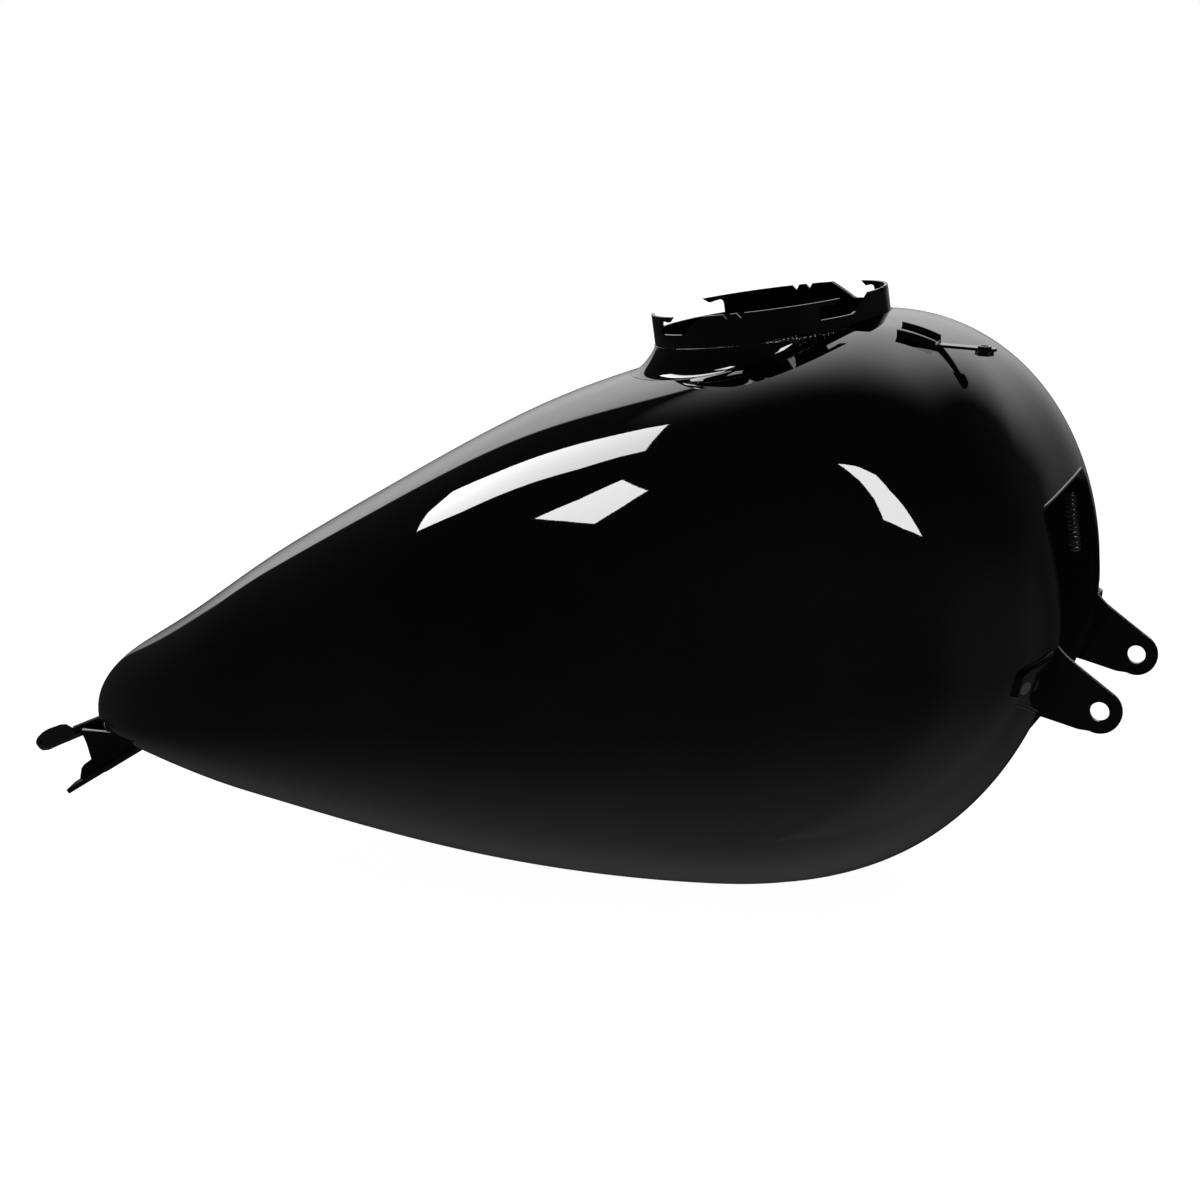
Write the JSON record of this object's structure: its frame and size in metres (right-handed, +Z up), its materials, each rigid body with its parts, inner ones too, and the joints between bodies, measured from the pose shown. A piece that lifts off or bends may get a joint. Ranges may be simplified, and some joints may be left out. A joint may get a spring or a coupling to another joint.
{
  "type": "motorcycle fuel tank",
  "caption": "Welded steel saddle-shaped motorcycle fuel tank with an open lock-ring neck, two front mounting ears and a rear hanger bracket.",
  "frame": {"origin": "centre of the front mounting bolt, midway between the two ears", "axes": "+X forward, +Y to the rider's left along the front bolt, +Z up"},
  "size_m": [0.7054, 0.3536, 0.3446],
  "materials": {
    "gloss_black": "high gloss",
    "painted_weld": "gloss over rough weld",
    "bare_steel": "dull bare sheet"
  },
  "bodies": {
    "root": {"right_side_shell": "gloss_black", "left_side_shell": "gloss_black", "tunnel_panel": "gloss_black", "neck_collar": "gloss_black", "neck_weld_bead": "painted_weld", "lock_flange": "gloss_black", "front_ear_right": "gloss_black", "front_ear_left": "gloss_black", "ear_plug_weld_right": "painted_weld", "ear_plug_weld_left": "painted_weld", "ear_seam_weld_right": "painted_weld", "ear_seam_weld_left": "painted_weld", "notch_weld_right": "painted_weld", "notch_weld_left": "painted_weld", "rear_hanger_channel": "gloss_black", "rear_hanger_tongue": "gloss_black", "console_bracket_base": "gloss_black", "console_bracket_arm": "gloss_black", "console_weld_nut": "gloss_black", "console_washer": "gloss_black", "surge_baffle_right": "bare_steel", "surge_baffle_left": "bare_steel", "pump_locating_bracket": "bare_steel"}
  },
  "joints": []
}
